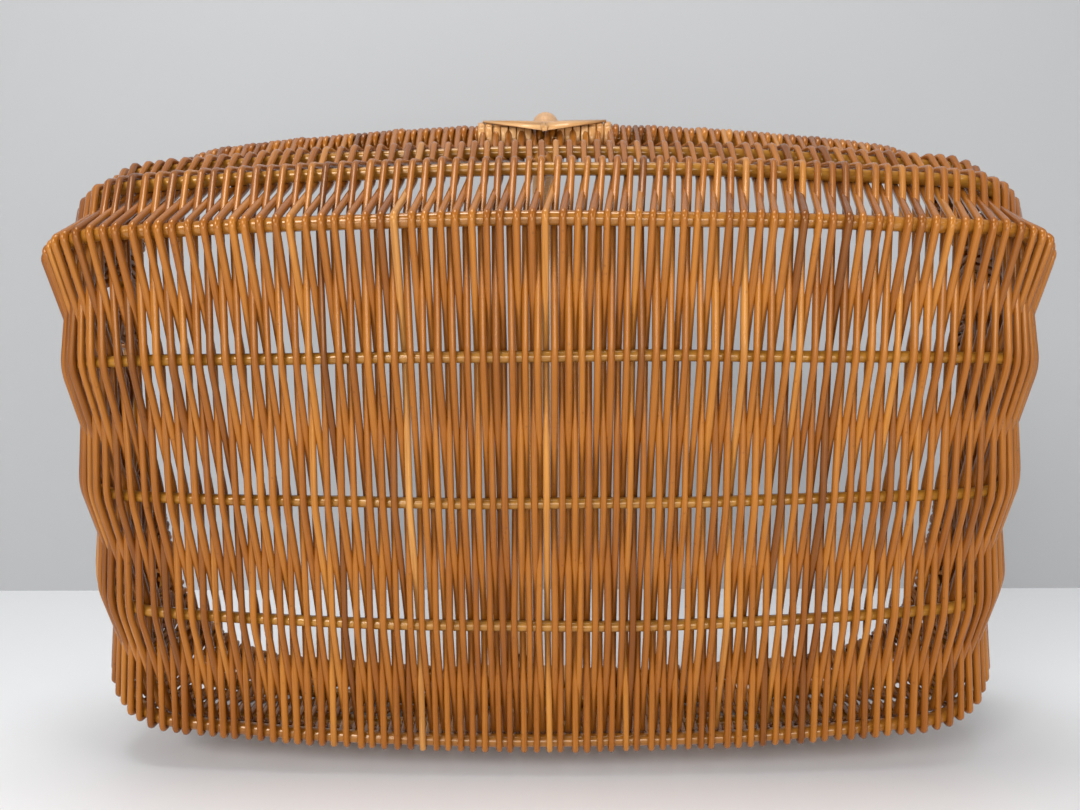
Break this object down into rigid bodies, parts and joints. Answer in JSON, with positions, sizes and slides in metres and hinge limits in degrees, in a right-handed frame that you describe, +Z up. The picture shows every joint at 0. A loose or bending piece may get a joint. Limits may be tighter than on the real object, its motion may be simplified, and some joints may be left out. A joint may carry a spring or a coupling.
{
  "type": "gathering basket",
  "caption": "Shallow rectangular willow gathering basket with rounded corners, openwork weave over long ribs, and a wound bow handle lashed to the rim, lying on one long side.",
  "frame": {"origin": "centre of the box round the basket, at the floor it lies on", "axes": "+X along the basket, -Y out of its base, +Y towards the mouth and the handle, +Z up from the long side it lies on"},
  "size_m": [0.522, 0.434, 0.3961],
  "materials": {
    "weavers": "varnished willow, amber brown",
    "ribs": "varnished willow rod, olive brown",
    "edge_rods": "varnished willow rod, dark brown",
    "cane": "satin flat cane, pale tan"
  },
  "bodies": {
    "root": {"rim_hoop": "edge_rods", "rib_centre": "ribs", "rib_upper": "ribs", "rib_lower": "ribs", "rib_edge_upper": "edge_rods", "rib_edge_lower": "edge_rods", "rib_side_upper_1": "ribs", "rib_side_upper_2": "ribs", "rib_side_lower_1": "ribs", "rib_side_lower_2": "ribs", "woven_wall": "weavers", "handle_bow": "edge_rods", "handle_winding": "cane", "lashing_upper": "cane", "lashing_lower": "cane"}
  },
  "joints": []
}
